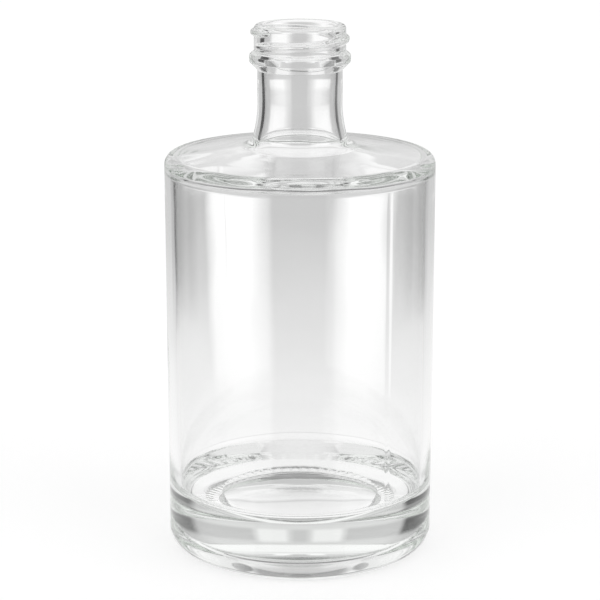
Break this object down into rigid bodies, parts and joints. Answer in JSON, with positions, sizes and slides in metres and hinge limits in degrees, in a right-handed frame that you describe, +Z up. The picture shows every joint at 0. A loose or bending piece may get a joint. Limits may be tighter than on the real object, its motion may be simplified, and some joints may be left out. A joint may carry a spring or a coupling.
{
  "type": "glass bottle",
  "caption": "Clear glass bottle with a straight round body, thick base, nearly flat shoulder, long neck and an open screw finish with a bead below the thread.",
  "frame": {"origin": "on the bottle's axis, on the plane of the ring that it stands on", "axes": "+Z up along the axis, from the base to the mouth; -Y faces the viewer of the picture"},
  "size_m": [0.087, 0.087, 0.1716],
  "materials": {
    "glass": "clear, smooth"
  },
  "bodies": {
    "root": {"bottle": "glass"}
  },
  "joints": []
}
